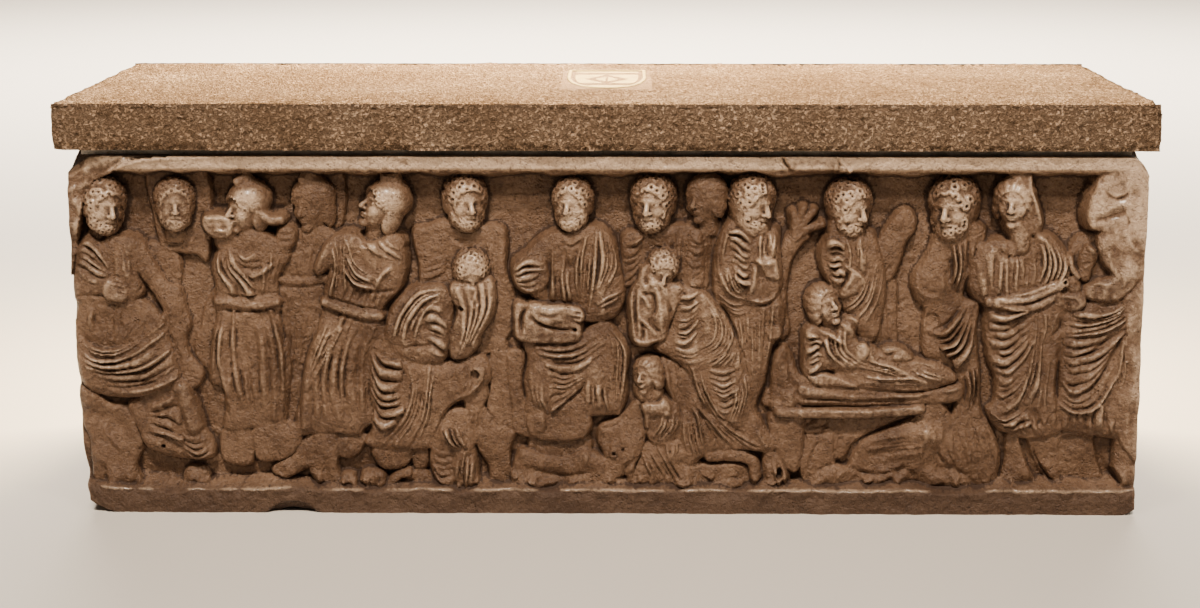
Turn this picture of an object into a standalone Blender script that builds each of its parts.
"""A stone sarcophagus: a hollow chest with a frieze of figures, its loose lid, the flat bar frame that
carries the lid, and a small brass shield let into the lid."""

import math

import bmesh
import bpy
import numpy as np
from mathutils import Vector, noise

# Driving dimensions, in metres. +X runs along the chest, -Y is its carved front, +Z is up.
CHEST_LENGTH = 2.10
CHEST_DEPTH = 0.73
CHEST_HEIGHT = 0.72
FRONT_WALL = 0.12
BACK_WALL = 0.09
END_WALL = 0.09
FLOOR = 0.10
FIT_GAP = 0.0003

FRAME_THICK = 0.0134
FRAME_BAR = 0.05
FRAME_SETBACK = 0.025
LID_LENGTH = 2.15
LID_DEPTH = 0.77
LID_THICK = 0.093
LID_ROUGHNESS = 0.003

SHIELD_WIDTH = 0.168
SHIELD_LENGTH = 0.33
SHIELD_THICK = 0.006
SHIELD_RIM = 0.010
SHIELD_RIM_RISE = 0.002
SHIELD_PROUD = 0.0015
SHIELD_BACK = 0.20

# The frieze is laid out in centimetres from the lower left corner of the front: u to the right, w up,
# and p out of the stone from the sunk ground between the figures.
CM = 0.01
WIDE = CHEST_LENGTH / CM
TALL = CHEST_HEIGHT / CM
RIM_PROUD = 7.5
RIM_LOW = 68.7
RIM_LOSS = (140.0, 150.6)
RIM_LOSS_DEPTH = 1.3
BROKEN_PROUD = 3.6
LEDGE_TOP = 4.8
LEDGE_SLOPE = 3.5
MOST_PROUD = 8.2
WALL_STEEPNESS = 6.0
CARVING_STEP = 0.6
CARVING_KEPT = 0.085
FOLD_SAMPLES = 14


def clear_scene():
    for old in list(bpy.data.objects):
        bpy.data.objects.remove(old, do_unlink=True)


def make_material(name, colour, roughness, metallic=0.0):
    material = bpy.data.materials.new(name)
    material.use_nodes = True
    shader = material.node_tree.nodes["Principled BSDF"]
    shader.inputs["Base Color"].default_value = (*colour, 1.0)
    shader.inputs["Roughness"].default_value = roughness
    shader.inputs["Metallic"].default_value = metallic
    return material


def add_object(name, mesh, material, collection):
    made = bpy.data.objects.new(name, mesh)
    collection.objects.link(made)
    mesh.materials.clear()
    mesh.materials.append(material)
    return made


def bake(source):
    """The evaluated mesh of an object, with the object itself removed."""
    bpy.context.view_layer.update()
    graph = bpy.context.evaluated_depsgraph_get()
    mesh = bpy.data.meshes.new_from_object(source.evaluated_get(graph))
    bpy.data.objects.remove(source, do_unlink=True)
    return mesh


# --- the carver's language: masses, rods, folds and heads on a height map -----------------------------


def curve(points, samples=FOLD_SAMPLES, closed=False):
    """A smooth Catmull-Rom line through points, resampled to a fixed number of samples."""
    given = np.array(points, float)
    if closed:
        given = np.vstack([given[-1], given, given[0], given[1]])
    else:
        given = np.vstack([2 * given[0] - given[1], given, 2 * given[-1] - given[-2]])
    spans = len(given) - 3
    place = np.linspace(0, spans, samples + 1)
    if closed:
        place = place[:-1]
    span = np.minimum(place.astype(int), spans - 1)
    t = (place - span)[:, None]
    a, b, c, d = (given[span + k] for k in range(4))
    bend = 2 * b + (c - a) * t + (2 * a - 5 * b + 4 * c - d) * t**2 + (3 * b - a - 3 * c + d) * t**3
    return bend / 2


def segment_distance(u, w, start, end):
    """Distance from every map point to a segment, and how far along the segment the nearest point is."""
    run = end - start
    length = max(run @ run, 1e-9)
    t = np.clip(((u - start[0]) * run[0] + (w - start[1]) * run[1]) / length, 0, 1)
    return np.hypot(u - start[0] - t * run[0], w - start[1] - t * run[1]), t


def line_distance(u, w, line):
    """Distance from every map point to a line, and the place along the line from 0 to 1."""
    best = np.full(u.shape, 1e9)
    along = np.zeros(u.shape)
    last = len(line) - 1
    for index in range(last):
        gap, t = segment_distance(u, w, line[index], line[index + 1])
        nearer = gap < best
        best[nearer] = gap[nearer]
        along[nearer] = (index + t[nearer]) / last
    return best, along


class Carving:
    """Heights of the carved front over its sunk ground, in centimetres."""

    def __init__(self, step):
        self.us = np.linspace(0, WIDE, round(WIDE / step) + 1)
        self.ws = np.linspace(0, TALL, round(TALL / step) + 1)
        self.step = self.us[1]
        self.p = np.zeros((len(self.ws), len(self.us)))

    def window(self, line, margin):
        """The part of the map around a line, and its coordinates."""
        low = line.min(axis=0) - margin
        high = line.max(axis=0) + margin
        columns = slice(*np.searchsorted(self.us, (low[0], high[0])))
        rows = slice(*np.searchsorted(self.ws, (low[1], high[1])))
        u, w = np.meshgrid(self.us[columns], self.ws[rows])
        return (rows, columns), u, w

    def raise_to(self, area, height):
        self.p[area] = np.maximum(self.p[area], height)

    def mass(self, outline, proud, soft=2.5, side=0.45):
        """A rounded body inside a smooth outline: proud at its middle, a share of that at its edge."""
        line = curve(outline, 36, closed=True)
        area, u, w = self.window(line, proud / WALL_STEEPNESS + 0.5)
        loop = np.vstack([line, line[0]])
        gap, _ = line_distance(u, w, loop)
        inside = np.zeros(u.shape, bool)
        for start, end in zip(loop[:-1], loop[1:]):
            spans = (start[1] > w) != (end[1] > w)
            rise = end[1] - start[1] if end[1] != start[1] else 1e-9
            inside ^= spans & (u < start[0] + (w - start[1]) / rise * (end[0] - start[0]))
        edge = proud * side
        dome = np.sqrt(1 - (1 - np.clip(gap / soft, 0, 1)) ** 2)
        height = np.where(inside, edge + (proud - edge) * dome, edge - gap * WALL_STEEPNESS)
        self.raise_to(area, height)

    def rod(self, path, radius, proud):
        """A half-round bar along a smooth path."""
        line = curve(path)
        area, u, w = self.window(line, radius + proud / WALL_STEEPNESS)
        gap, _ = line_distance(u, w, line)
        round_off = radius * (1 - np.sqrt(1 - np.clip(gap / radius, 0, 1) ** 2))
        self.raise_to(area, proud - round_off - np.clip(gap - radius, 0, None) * WALL_STEEPNESS)

    def folds(self, first, last, count, high):
        """A family of round folds that runs over from one guide line to another."""
        guides = curve(first), curve(last)
        lines = [guides[0] + (guides[1] - guides[0]) * t for t in np.linspace(0, 1, count)]
        spacing = np.hypot(*(guides[1] - guides[0]).T) / (count - 1)
        width = np.clip(spacing / 2, 0.35, 2.0)
        area, u, w = self.window(np.vstack(lines), 2.0)
        pleat = np.zeros(u.shape)
        for line in lines:
            gap, along = line_distance(u, w, line)
            half = np.interp(along, np.linspace(0, 1, len(width)), width)
            taper = np.sin(math.pi * np.clip(0.06 + 0.88 * along, 0, 1)) ** 0.4
            pleat = np.maximum(pleat, high * taper * np.cos(math.pi / 2 * np.clip(gap / half, 0, 1)))
        self.p[area] += pleat

    def head(self, u, w, half_wide, half_tall, turn, proud=8.0, depth=4.5):
        """A head: a skull dome with brow, nose and chin on the side that it faces, and a cap of hair."""
        centre = np.array([[u, w]])
        area, x, z = self.window(centre, max(half_wide, half_tall) * 1.2)
        across = (x - u) / half_wide
        up = (z - w) / half_tall
        out = np.hypot(across, up)
        skull = proud - depth * (1 - np.sqrt(np.clip(1 - out**2, 0, None)))
        facing = math.sin(math.radians(turn)) * 0.62
        side = across - facing
        hair = (up > 0.42 - 0.5 * side**2) | (abs(side) > 0.62)
        eyes = np.exp(-(((abs(side) - 0.3) / 0.16) ** 2) - ((up - 0.08) / 0.13) ** 2)
        nose = np.exp(-((side / 0.15) ** 2) - ((up + 0.08) / 0.26) ** 2)
        chin = np.exp(-((side / 0.3) ** 2) - ((up + 0.72) / 0.18) ** 2)
        skull += np.where(hair, 0.45, 1.1 * nose - 0.7 * eyes + 0.4 * chin)
        skull -= np.clip(out - 1, 0, None) * half_wide * WALL_STEEPNESS
        self.raise_to(area, np.where(out < 1.25, skull, 0))


# --- the frieze, group by group from left to right -----------------------------------------------------


def carve_border(c):
    """The plain rim above and the plain ledge below, with the worn break at the upper left."""
    u, w = np.meshgrid(c.us, c.ws)
    break_line = np.interp(c.us, [0, 3, 6, 11, 16, 22], [58, 62.5, 67, 70.2, 71.6, 80])
    rim_front = np.where((u > RIM_LOSS[0]) & (u < RIM_LOSS[1]), RIM_PROUD - RIM_LOSS_DEPTH, RIM_PROUD)
    rim = rim_front - np.clip(RIM_LOW - w, 0, None) * WALL_STEEPNESS
    ledge = RIM_PROUD - np.clip(w - LEDGE_TOP, 0, None) * LEDGE_SLOPE
    c.p = np.maximum(c.p, np.where(w > break_line, BROKEN_PROUD, rim))
    c.p = np.maximum(c.p, ledge)
    c.rod([(5, 66.6), (9, 69), (15, 70.9), (22, 71)], 1.6, 7.4)


def carve_seated_elder(c):
    """The seated elder at the left end, on his rock, and the bearded head on the panel beside him."""
    c.mass([(15.7, 68.5), (16.5, 55), (19, 52.4), (26.4, 51.8), (26.3, 68.5)], 2.6, 0.5, 0.9)
    c.mass([(15, 52), (20, 52), (28, 50), (28, 30), (24, 25), (18, 40)], 2.0, 3)
    c.mass([(2, 5), (2, 12), (0.6, 20), (6, 23), (11, 15), (11, 5)], 5.0)
    c.mass([(0.4, 44), (1, 53.4), (4, 55.4), (13.3, 54.6), (18.4, 44.5), (13, 43.4), (6, 42.5)], 5.8)
    c.mass([(0.3, 41), (0.3, 26), (8, 22), (20, 19.6), (20.5, 27), (18, 41), (10, 43)], 6.0)
    c.mass([(10, 21), (20, 26), (24.3, 19), (26.8, 12), (22, 10.3), (14, 13)], 6.0)
    c.mass([(20, 5.6), (20.5, 9), (25, 9), (24.5, 5.6)], 4.0, 1)
    c.folds([(1.5, 36), (4.5, 33), (9, 33.8), (17.3, 38.8)], [(8, 22.5), (12, 21), (18, 21), (20.3, 22)], 6, 0.8)
    c.folds([(1.2, 54), (1, 50), (2.5, 46)], [(4.2, 55), (6.2, 52), (7.4, 48)], 4, 0.7)
    c.folds([(10.6, 20), (12.6, 15.5), (16, 12)], [(20.8, 23), (22.6, 17), (25.6, 11.6)], 4, 0.7)
    c.head(7.4, 61.9, 4.3, 5.6, 40)
    c.head(21.5, 62.3, 4.1, 4.9, 10, 4.6, 2.2)


def carve_gift_bearers(c):
    """Three men in soft peaked caps who walk to the left with gifts, the middle one in low relief."""
    c.mass([(41.5, 60.5), (44, 64.5), (48, 68.2), (52.5, 68.2), (53, 60), (50, 54), (43, 56)], 2.4)
    c.mass([(40, 52), (43.5, 57), (50, 55), (49.8, 45), (47, 33), (42, 26), (40, 40)], 2.4)
    c.mass([(28, 50), (32, 54), (40, 54.2), (39.8, 46), (39.4, 41), (28.6, 41), (28.3, 46)], 5.6)
    c.mass([(28.6, 41.5), (39.6, 41.5), (43.6, 24), (43, 17), (29, 16.4), (30.8, 26), (26.6, 30)], 5.2)
    c.mass([(26, 59.8), (27.4, 61.3), (31.2, 61.3), (31, 57), (28, 57.4)], 6.4, 1)
    c.mass([(40.4, 57), (42, 59), (44, 58.3), (43.4, 55), (41.3, 54.4)], 6.0, 1.5)
    c.mass([(28.4, 16), (33.8, 16.2), (33.8, 9.4), (29.5, 9.6)], 4.8, 1)
    c.mass([(34.4, 15.5), (38.5, 17.6), (43.2, 15.5), (41.5, 11.2), (38, 9.8), (35.4, 11.6)], 5.6)
    c.rod([(28.8, 42.4), (34, 41.6), (39.5, 42.2)], 0.9, 6.6)
    c.folds([(29.4, 53), (29.4, 49), (32.6, 46)], [(38.5, 53.5), (38, 50.5), (38.5, 47)], 5, 0.7)
    c.folds([(29.3, 40.5), (29, 35), (31, 18)], [(38.8, 40.6), (41, 28), (41, 18)], 6, 0.6)
    c.head(35.2, 61.4, 4.2, 5.6, -50)
    c.rod([(36, 67), (38.8, 64), (40.6, 59)], 1.3, 6.6)
    c.mass([(50, 55), (56, 56.5), (63, 55.6), (65.6, 51), (60, 42.5), (50, 42), (48.2, 49)], 6.0)
    c.mass([(49.5, 42), (59.4, 38.8), (58.3, 30), (58.5, 20), (53, 15.4), (44, 17), (45, 27)], 5.6)
    c.mass([(46.8, 15.6), (51, 15.6), (51.6, 7), (46.5, 7)], 4.4, 1.5)
    c.rod([(50, 42.6), (55, 40.4), (60, 39.4)], 1.0, 6.8)
    c.folds([(52, 55), (52.3, 50), (51, 46)], [(57.5, 54), (60, 50.5), (63, 48.5)], 5, 0.8)
    c.folds([(49.8, 40.5), (46, 29), (46, 18)], [(58.4, 38), (57.4, 28), (56.4, 18)], 6, 0.6)
    c.head(61, 61.8, 4.6, 5.4, -70)
    c.rod([(63.6, 67), (65.6, 63), (65.8, 60.4)], 1.4, 6.4)


def carve_kneeling_suppliant(c):
    """A bearded man, the figure that kneels before him with covered hands, a child and a smooth block."""
    c.mass([(67.4, 56), (75, 58.4), (84.5, 57), (86.6, 44), (84, 34), (74, 38), (68.2, 48)], 3.2)
    c.mass([(66.5, 43.5), (72.4, 46), (71.5, 31), (64.5, 31.5), (62.6, 36)], 6.2)
    c.mass([(58.3, 31), (62, 35), (70, 30), (82, 30), (72.4, 20), (68.4, 12.9), (57, 14.6), (58.6, 22)], 5.8)
    c.mass([(74.5, 47.4), (83, 47.4), (81.6, 38.5), (77, 33), (71.5, 31), (69.6, 38)], 6.4)
    c.mass([(59.3, 12.8), (64.8, 12.8), (64.7, 10), (61.5, 8.1), (59.5, 10)], 5.0, 1.5)
    c.mass([(70.4, 14), (73.5, 20.4), (77.6, 20.2), (77.5, 9), (75.8, 5), (72.4, 5)], 5.4)
    c.mass([(79.6, 22), (87, 16.4), (85.8, 8.4), (82, 9), (79, 15)], 4.4)
    c.mass([(82, 30), (81.8, 22), (86.4, 17.2), (85.8, 33), (83.6, 36)], 3.6, 1)
    c.folds([(59.4, 33), (61.6, 30.6), (63.4, 30)], [(59, 20), (61, 18.2), (64, 18.6)], 7, 0.8)
    c.folds([(68.5, 29.4), (65.6, 20), (61.4, 14)], [(72, 29), (70.6, 19), (68, 14)], 4, 0.6)
    c.folds([(69, 45.4), (65.5, 41.5), (63.4, 36.5)], [(72, 44), (70, 40), (69, 35)], 3, 0.7)
    c.folds([(76, 46), (77, 40), (76, 34.5)], [(82.4, 47), (81.6, 41), (78.6, 36)], 4, 0.6)
    c.head(77.6, 62.4, 4.6, 5.8, 25)
    c.head(78.5, 49.2, 4.6, 4.0, 20, 7.6, 4.0)


def carve_seated_centre(c):
    """The central seated figure with an open scroll, on a chair with a footstool and a rock base."""
    c.mass([(86.9, 49), (91.5, 55), (98, 56.4), (105, 57.2), (109, 50), (102, 40.4), (89, 44)], 5.6)
    c.mass([(88.4, 41), (104, 38.6), (107, 35), (105.4, 20), (92, 20), (89, 30)], 5.8)
    c.mass([(89, 38.5), (90, 42), (97, 41.8), (101, 40), (99, 34.8), (90.4, 34.6)], 7.0, 1.2)
    c.mass([(105.6, 38), (110, 37.4), (109, 24), (107, 20.5), (105.5, 24)], 4.6)
    c.mass([(86.6, 33), (89, 33), (90, 17), (86.8, 17)], 4.6, 1, 0.8)
    c.mass([(90.4, 20), (100.6, 20), (100.6, 11.6), (90.8, 12)], 5.2, 0.8, 0.9)
    c.mass([(88, 11.5), (96, 12), (105, 11), (104, 5), (87, 5)], 5.8, 1.5)
    c.folds([(91.6, 33.4), (95, 31.4), (102.4, 35)], [(92.6, 22), (96, 21.4), (101.4, 27)], 6, 0.7)
    c.folds([(94, 51.5), (94.6, 47), (95.6, 43.6)], [(106.6, 55), (106.4, 50), (102.6, 43.6)], 7, 0.6)
    c.folds([(101.5, 27), (101.3, 20.6)], [(105, 27), (105.1, 20.6)], 3, 0.5)
    c.head(99.2, 62.2, 4.4, 5.6, -22)


def carve_kneeling_woman(c):
    """Two men, a woman who kneels with covered hands, and the small kneeling child before her."""
    c.mass([(108.6, 54), (113.5, 56.4), (118.5, 58), (127, 57.4), (127, 45), (119, 44), (108.4, 48)], 3.6)
    c.mass([(120.2, 57), (124.4, 57), (124.4, 44.6), (120.4, 46)], 4.8, 1.5)
    c.mass([(119, 45.6), (126, 43.4), (131, 35), (133, 21), (128.6, 18.4), (121, 30), (115.6, 33.6)], 6.0)
    c.mass([(120.6, 28.6), (119.6, 18), (122, 10), (137.6, 13), (134, 20), (127, 22)], 5.2)
    c.mass([(110, 45.4), (113, 50), (119.4, 46), (117, 35.4), (113, 34.2), (110.4, 35.2)], 6.6)
    c.mass([(119.6, 5), (119.6, 10), (125, 11), (134, 9.4), (134, 5)], 5.0)
    c.rod([(125.5, 11.3), (133, 11.3), (135.2, 10), (135.8, 7.4)], 1.2, 4.6)
    c.mass([(111.6, 22.4), (117, 23.2), (120.8, 20), (120.6, 13), (114, 15)], 5.8)
    c.mass([(117, 13.6), (121, 12), (121, 7), (116, 5), (110.6, 5), (112, 12)], 4.4)
    c.mass([(116.4, 31), (119.6, 30.6), (120.8, 22), (117, 25)], 3.4)
    c.mass([(107.4, 18), (112.2, 23), (112.6, 13), (109, 7), (104, 15)], 4.6)
    c.folds([(119.8, 44.4), (121.4, 43.4), (124, 44)], [(119.6, 34), (121.4, 34), (123.4, 36)], 7, 0.6)
    c.folds([(123.6, 44), (126.6, 38), (122.4, 32.4)], [(128.4, 41.4), (131, 34), (124.4, 29.6)], 4, 0.6)
    c.folds([(123.6, 29), (126, 22.4), (131, 17.8)], [(120.4, 28.4), (123, 21), (132.6, 13.4)], 4, 0.7)
    c.folds([(126.4, 28.6), (129, 29), (131.2, 29.6)], [(127, 22.6), (129, 22.6), (131.6, 24.4)], 5, 0.6)
    c.folds([(111, 45), (110.8, 40), (111.4, 36)], [(115.8, 46), (116.6, 41), (116.4, 37)], 3, 0.6)
    c.head(114.6, 62.2, 4.6, 5.6, -20)
    c.head(124.6, 63.0, 3.9, 5.2, -45, 4.4, 2.4)
    c.head(115.9, 49.8, 3.8, 4.2, 25, 7.8, 3.6)
    c.head(113.9, 27.5, 3.2, 4.6, 0, 7.0, 3.4)


def carve_bed_scene(c):
    """A bearded man, his companion with a raised hand, the sleeper on the bed and the beast below it."""
    c.mass([(126.6, 50), (131, 59), (139, 56), (139, 40), (136.5, 26), (138, 13), (131, 24), (129, 40)], 5.8)
    c.mass([(139.5, 53.5), (142.5, 61), (147.2, 60), (141.7, 53), (140.3, 42), (137.5, 36), (138.4, 46)], 2.8)
    c.mass([(147.4, 53), (152, 56), (158.6, 54), (160.4, 48), (158.6, 36), (152, 42), (147, 48)], 5.6)
    c.mass([(157.8, 53), (163.5, 61.3), (165.6, 57), (160.5, 49)], 4.2)
    c.mass([(155, 45), (161.6, 45), (162, 34.4), (154, 34.4)], 2.0)
    c.mass([(144.3, 29), (144.4, 37), (152, 40.8), (155, 38), (156, 30.4), (148, 28)], 6.2)
    c.mass([(152.5, 35), (162, 34.3), (171, 30.3), (174.3, 27), (160, 24.8), (150, 27.6)], 6.0)
    c.mass([(143.4, 27), (156, 25.6), (174.6, 26), (174, 22.8), (143.6, 22.4)], 5.8, 1.2)
    c.rod([(143, 21), (155, 20.9), (167.4, 21.3)], 1.0, 7.2)
    c.mass([(138.2, 21), (138.4, 29), (140.6, 33.4), (143.6, 26), (144, 21.6)], 4.8)
    c.mass([(138.3, 20), (140, 11.5), (143.5, 8.6), (150.8, 9.4), (150.4, 19.6)], 4.2, 1)
    c.mass([(148, 6), (154, 14), (165, 18.2), (170.6, 12), (170, 5), (152, 5)], 5.0)
    c.folds([(129, 56.6), (131.4, 55.2), (133.8, 55.2)], [(130, 47.4), (132, 46), (134, 47)], 6, 0.6)
    c.folds([(127.4, 53), (129, 47), (135, 43.6)], [(129, 41), (132, 39.4), (135, 41.4)], 3, 0.7)
    c.folds([(148.2, 54.4), (150, 53.4), (152, 53.6)], [(149, 48), (150.4, 47.2), (152, 48)], 5, 0.6)
    c.folds([(152, 43.2), (156, 46), (157, 54)], [(156, 39.5), (159.4, 45), (160, 51)], 4, 0.6)
    c.folds([(156.4, 32.4), (162, 30.6), (168, 27.4)], [(160.6, 34), (166, 31.2), (171.4, 30)], 3, 0.6)
    c.head(133.8, 62.4, 4.4, 5.6, 45)
    c.head(153.0, 61.6, 4.4, 5.4, 30)
    c.head(148.4, 42.4, 3.5, 4.2, 25, 7.4, 3.6)


def carve_right_end(c):
    """The bearded man, the veiled young figure and the broken figure with a raised arm at the right end."""
    c.mass([(167, 48), (173, 57), (179, 56), (179, 30), (184, 12), (171, 6), (173, 20), (168.3, 33)], 4.2)
    c.mass([(166.4, 47.4), (170, 52), (173.4, 47), (168.6, 43)], 5.2, 1.5)
    c.mass([(177, 48), (182, 55), (190, 56.6), (195.4, 52), (195.4, 45.4), (183, 42.6)], 6.0)
    c.mass([(180.4, 41.4), (193.4, 43.4), (195, 37), (193.4, 26), (194.6, 17), (182, 16.4), (182.4, 27)], 5.8)
    c.mass([(186, 15.8), (190, 15.6), (190.4, 7), (186.4, 7)], 4.4, 1.2)
    c.rod([(181, 43.4), (188, 43.6), (195, 46.4)], 1.2, 7.0)
    c.mass([(197.5, 49), (199.5, 54.2), (201, 50), (198, 45.6)], 5.8, 1.2)
    c.mass([(199, 60), (202, 69.8), (206.6, 69), (206.4, 57), (200.6, 57.6)], 6.4, 1.5)
    c.mass([(201.5, 56), (206, 58), (209.7, 54), (209.6, 46), (202, 42.4), (200, 46)], 6.0)
    c.mass([(195.4, 40), (205, 43), (209.7, 42), (209.4, 22), (207, 15.2), (195, 17.4), (195, 28)], 5.8)
    c.mass([(196.4, 16), (203, 15.8), (203.4, 7), (196.6, 7)], 4.4, 1.2)
    c.mass([(206.4, 15), (209.8, 18), (209.8, 6), (207, 6)], 4.8, 1.0)
    c.mass([(207.4, 16), (207.4, 73), (214, 73), (214, 16)], 6.6, 0.6, 0.9)
    c.folds([(181.6, 50.5), (182, 47), (181.5, 44.8)], [(194.6, 52.5), (194.8, 49), (194, 47)], 8, 0.6)
    c.folds([(180.8, 40), (184, 39), (189.4, 40.8)], [(182.6, 22.8), (186, 23), (190.4, 33)], 7, 0.7)
    c.folds([(190.6, 41), (189, 31), (186, 21)], [(193.4, 41), (191.8, 32), (191, 22)], 3, 0.7)
    c.folds([(199, 41), (203, 40.6), (208, 43.6)], [(196, 27), (199.4, 25), (206.4, 36)], 5, 0.7)
    c.folds([(168.6, 42.6), (172.4, 38.4), (178, 41)], [(171, 32), (174.6, 29), (178.4, 31)], 4, 0.5)
    c.head(173.6, 62.2, 4.6, 5.8, -30)
    c.head(185.6, 62.6, 3.8, 5.4, -20)
    c.rod([(187.4, 67.6), (188.6, 63.6), (190, 59.6)], 1.0, 6.2)


# --- the pieces ------------------------------------------------------------------------------------------


def square_up(vertex):
    """Puts a border vertex of the front back on the nearest side plane of the block."""
    sides = {
        (0, -CHEST_LENGTH / 2): abs(vertex.co.x + CHEST_LENGTH / 2),
        (0, CHEST_LENGTH / 2): abs(vertex.co.x - CHEST_LENGTH / 2),
        (2, 0.0): abs(vertex.co.z),
        (2, CHEST_HEIGHT): abs(vertex.co.z - CHEST_HEIGHT),
    }
    nearest = min(sides.values())
    for (axis, place), gap in sides.items():
        if gap < nearest + 1e-5:
            vertex.co[axis] = place


def carved_block(carving):
    """The front wall as a solid block: a grid raised to the carving, thinned, then closed behind."""
    rows, columns = carving.p.shape
    bpy.ops.mesh.primitive_grid_add(x_subdivisions=columns - 1, y_subdivisions=rows - 1, size=1)
    sheet = bpy.context.object
    flat = np.empty(rows * columns * 3)
    sheet.data.vertices.foreach_get("co", flat)
    flat = flat.reshape(-1, 3)
    column = np.rint((flat[:, 0] + 0.5) * (columns - 1)).astype(int)
    row = np.rint((flat[:, 1] + 0.5) * (rows - 1)).astype(int)
    placed = np.column_stack([
        carving.us[column] * CM - CHEST_LENGTH / 2,
        -CHEST_DEPTH / 2 + (RIM_PROUD - carving.p[row, column]) * CM,
        carving.ws[row] * CM,
    ])
    sheet.data.vertices.foreach_set("co", placed.ravel())
    thin = sheet.modifiers.new("thin", "DECIMATE")
    thin.ratio = CARVING_KEPT
    thin.use_collapse_triangulate = True
    mesh = bake(sheet)
    shape = bmesh.new()
    shape.from_mesh(mesh)
    border = [edge for edge in shape.edges if edge.is_boundary]
    for vertex in {vertex for edge in border for vertex in edge.verts}:
        square_up(vertex)
    pulled = bmesh.ops.extrude_edge_only(shape, edges=border)["geom"]
    for vertex in (item for item in pulled if isinstance(item, bmesh.types.BMVert)):
        vertex.co.y = CHEST_DEPTH / 2
    back = [edge for edge in shape.edges if edge.is_boundary]
    bmesh.ops.holes_fill(shape, edges=back, sides=0)
    bmesh.ops.triangulate(shape, faces=[face for face in shape.faces if len(face.verts) > 4])
    bmesh.ops.recalc_face_normals(shape, faces=shape.faces)
    shape.to_mesh(mesh)
    shape.free()
    return mesh


def box_cutter(name, low, high, cutters):
    bpy.ops.mesh.primitive_cube_add(size=1, location=[(a + b) / 2 for a, b in zip(low, high)])
    cutter = bpy.context.object
    cutter.scale = [b - a for a, b in zip(low, high)]
    return hide_cutter(cutter, name, cutters)


def chip_cutter(name, centre, radii, cutters):
    """A broken place: a coarse ball that takes a shallow scoop out of an edge."""
    bpy.ops.mesh.primitive_ico_sphere_add(subdivisions=2, radius=1, location=centre)
    cutter = bpy.context.object
    cutter.scale = radii
    cutter.rotation_euler = (0.3, 0.2, 0.5)
    return hide_cutter(cutter, name, cutters)


def corner_cutter(name, end, long_loss, tall_loss, cutters):
    """A worn upper corner of the front: a block tilted to slice off a long and a tall loss."""
    size = 0.12
    tilt = math.atan2(tall_loss, long_loss)
    middle = Vector((end * (CHEST_LENGTH / 2 - long_loss / 2), -CHEST_DEPTH / 2, CHEST_HEIGHT - tall_loss / 2))
    middle += Vector((end * math.sin(tilt), 0, math.cos(tilt))) * size / 2
    bpy.ops.mesh.primitive_cube_add(size=size, location=middle, rotation=(0, end * tilt, 0))
    cutter = bpy.context.object
    cutter.scale = (1, 1.9, 1)
    return hide_cutter(cutter, name, cutters)


def hide_cutter(cutter, name, cutters):
    cutter.name = name
    for home in list(cutter.users_collection):
        home.objects.unlink(cutter)
    cutters.objects.link(cutter)
    cutter.hide_render = True
    cutter.display_type = "WIRE"
    return cutter


def cut(target, cutter):
    hole = target.modifiers.new(cutter.name, "BOOLEAN")
    hole.operation = "DIFFERENCE"
    hole.solver = "EXACT"
    hole.object = cutter


def build_chest(parts, cutters, marble):
    carving = Carving(CARVING_STEP)
    carve_seated_elder(carving)
    carve_gift_bearers(carving)
    carve_kneeling_suppliant(carving)
    carve_seated_centre(carving)
    carve_kneeling_woman(carving)
    carve_bed_scene(carving)
    carve_right_end(carving)
    carve_border(carving)
    carving.p = np.minimum(carving.p, MOST_PROUD)
    chest = add_object("chest", carved_block(carving), marble, parts)
    half_long = CHEST_LENGTH / 2
    half_deep = CHEST_DEPTH / 2
    low = (-half_long + END_WALL, -half_deep + FRONT_WALL, FLOOR)
    high = (half_long - END_WALL, half_deep - BACK_WALL, CHEST_HEIGHT + 0.1)
    cut(chest, box_cutter("cavity", low, high, cutters))
    chips = {
        "chip_lower_left": ((-half_long - 0.01, -half_deep, 0.03), (0.055, 0.10, 0.085)),
        "chip_ledge": ((-half_long + 0.425, -half_deep - 0.01, -0.01), (0.055, 0.06, 0.024)),
    }
    for name, (centre, radii) in chips.items():
        cut(chest, chip_cutter(name, centre, radii, cutters))
    cut(chest, corner_cutter("worn_upper_left", -1, 0.042, 0.036, cutters))
    cut(chest, corner_cutter("worn_upper_right", 1, 0.034, 0.044, cutters))
    return chest


def build_frame(parts, iron):
    """The flat bar frame, a ring that lies on the rim of the chest and carries the lid."""
    long_side = CHEST_LENGTH - 2 * FRAME_SETBACK
    deep_side = CHEST_DEPTH - 2 * FRAME_SETBACK
    bpy.ops.mesh.primitive_plane_add(size=1, location=(0, 0, 0))
    plate = bpy.context.object
    ring = bmesh.new()
    ring.from_mesh(plate.data)
    bmesh.ops.scale(ring, vec=(long_side, deep_side, 1), verts=ring.verts)
    bmesh.ops.translate(ring, vec=(0, 0, CHEST_HEIGHT + FIT_GAP), verts=ring.verts)
    middle = list(ring.faces)
    bmesh.ops.inset_region(ring, faces=middle, thickness=FRAME_BAR, use_boundary=True, use_even_offset=True)
    bmesh.ops.delete(ring, geom=middle, context="FACES")
    ring.to_mesh(plate.data)
    ring.free()
    mesh = plate.data
    frame = add_object("bearing_frame", mesh, iron, parts)
    bpy.data.objects.remove(plate, do_unlink=True)
    thicken = frame.modifiers.new("thickness", "SOLIDIFY")
    thicken.thickness = FRAME_THICK
    thicken.offset = 1.0
    return frame


def lid_bottom():
    return CHEST_HEIGHT + FRAME_THICK + 2 * FIT_GAP


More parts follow.
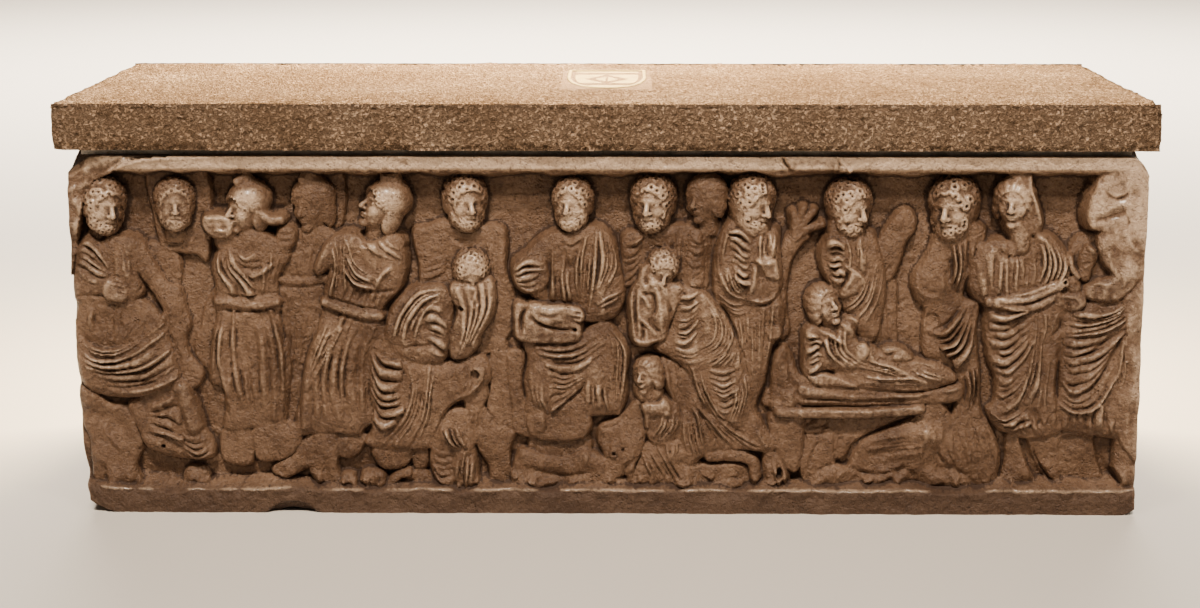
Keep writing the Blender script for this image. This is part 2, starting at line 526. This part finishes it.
def shield_outline(grow=0.0, samples=10):
    """The outline of the shield: a straight back edge, upright shoulders, and curved sides to a point."""
    half = SHIELD_WIDTH / 2 + grow
    back = SHIELD_BACK + grow
    shoulder = SHIELD_BACK - SHIELD_LENGTH * 0.38
    tip = SHIELD_BACK - SHIELD_LENGTH - grow * 1.4
    right = [(half, back), (half, shoulder)]
    for step in range(1, samples):
        turn = math.pi / 2 * step / samples
        right.append((half * math.cos(turn) ** 0.85, shoulder + (tip - shoulder) * math.sin(turn)))
    left = [(-x, y) for x, y in reversed(right)]
    return right + [(0, tip)] + left


def outline_plate(name, outline, bottom, top):
    """A flat plate of the given outline between two heights."""
    drawn = bpy.data.curves.new(name, "CURVE")
    drawn.dimensions = "2D"
    drawn.fill_mode = "BOTH"
    drawn.extrude = (top - bottom) / 2
    line = drawn.splines.new("POLY")
    line.points.add(len(outline) - 1)
    for point, (x, y) in zip(line.points, outline):
        point.co = (x, y, 0, 1)
    line.use_cyclic_u = True
    holder = bpy.data.objects.new(name, drawn)
    bpy.context.scene.collection.objects.link(holder)
    mesh = bake(holder)
    shape = bmesh.new()
    shape.from_mesh(mesh)
    bmesh.ops.remove_doubles(shape, verts=shape.verts, dist=1e-6)
    bmesh.ops.translate(shape, vec=(0, 0, (top + bottom) / 2), verts=shape.verts)
    bmesh.ops.recalc_face_normals(shape, faces=shape.faces)
    shape.to_mesh(mesh)
    shape.free()
    return mesh


def lid_wave(x, y, reach):
    """Height of the pointed stone surface, fading out where the patch around the shield is dressed flat."""
    rough = noise.fractal(Vector((x * 9, y * 9, 0.4)), 0.9, 2.1, 4)
    dressed = max(abs(x) / 0.13, abs(y) / 0.12)
    return LID_ROUGHNESS * (rough - 1.0) * min(1.0, max(0.0, (dressed - 0.85) * 4)) * reach


def build_lid(parts, cutters, stone):
    """The slab: a rough top with ragged edges, a flat bed, and a recess for the shield."""
    across, along = 46, 15
    bottom = lid_bottom()
    bpy.ops.mesh.primitive_grid_add(x_subdivisions=across, y_subdivisions=along, size=1)
    sheet = bpy.context.object
    slab = bmesh.new()
    slab.from_mesh(sheet.data)
    bpy.data.objects.remove(sheet, do_unlink=True)
    border = [edge for edge in slab.edges if edge.is_boundary]
    rim = {vertex for edge in border for vertex in edge.verts}
    for vertex in slab.verts:
        x = vertex.co.x * LID_LENGTH
        y = vertex.co.y * LID_DEPTH
        if vertex in rim:
            wander = noise.noise(Vector((x * 7, y * 7, 3.0)))
            shrink = 1 - 2 * abs(wander) * LID_ROUGHNESS / LID_DEPTH
            x *= 1 - (1 - shrink) * LID_DEPTH / LID_LENGTH
            y *= shrink
        vertex.co = (x, y, bottom + LID_THICK + lid_wave(x, y, 1.0))
    pulled = bmesh.ops.extrude_edge_only(slab, edges=border)["geom"]
    for vertex in (item for item in pulled if isinstance(item, bmesh.types.BMVert)):
        vertex.co.z = bottom
    bmesh.ops.holes_fill(slab, edges=[edge for edge in slab.edges if edge.is_boundary], sides=0)
    bmesh.ops.recalc_face_normals(slab, faces=slab.faces)
    mesh = bpy.data.meshes.new("lid")
    slab.to_mesh(mesh)
    slab.free()
    lid = add_object("lid", mesh, stone, parts)
    top = bottom + LID_THICK
    recess = bpy.data.objects.new(
        "shield_recess",
        outline_plate("shield_recess", shield_outline(FIT_GAP * 2), top - SHIELD_THICK, top + 0.05),
    )
    bpy.context.scene.collection.objects.link(recess)
    cut(lid, hide_cutter(recess, "shield_recess", cutters))
    return lid


def build_shield(parts, brass):
    """The brass shield: a plate with a raised rim, lying in its recess just proud of the stone."""
    top = lid_bottom() + LID_THICK
    low = top - SHIELD_THICK + FIT_GAP
    mesh = outline_plate("lid_shield", shield_outline(), low, top + SHIELD_PROUD)
    shape = bmesh.new()
    shape.from_mesh(mesh)
    bmesh.ops.dissolve_limit(shape, angle_limit=0.01, verts=shape.verts, edges=shape.edges)
    face = max(shape.faces, key=lambda item: item.calc_center_median().z)
    bmesh.ops.inset_region(shape, faces=[face], thickness=SHIELD_RIM, use_boundary=True, use_even_offset=True)
    bmesh.ops.translate(shape, vec=(0, 0, -SHIELD_RIM_RISE), verts=face.verts)
    bmesh.ops.triangulate(shape, faces=[item for item in shape.faces if len(item.verts) > 4])
    shape.to_mesh(mesh)
    shape.free()
    return add_object("lid_shield", mesh, brass, parts)


def main():
    clear_scene()
    parts = bpy.data.collections.new("stone_sarcophagus")
    cutters = bpy.data.collections.new("cutters")
    for collection in (parts, cutters):
        bpy.context.scene.collection.children.link(collection)
    marble = make_material("weathered_marble", (0.40, 0.30, 0.22), 0.55)
    rough_stone = make_material("pointed_stone", (0.52, 0.43, 0.36), 0.85)
    iron = make_material("dark_iron", (0.05, 0.045, 0.04), 0.6, 0.6)
    brass = make_material("brass", (0.55, 0.42, 0.18), 0.4, 1.0)
    build_chest(parts, cutters, marble)
    build_frame(parts, iron)
    build_lid(parts, cutters, rough_stone)
    build_shield(parts, brass)


main()
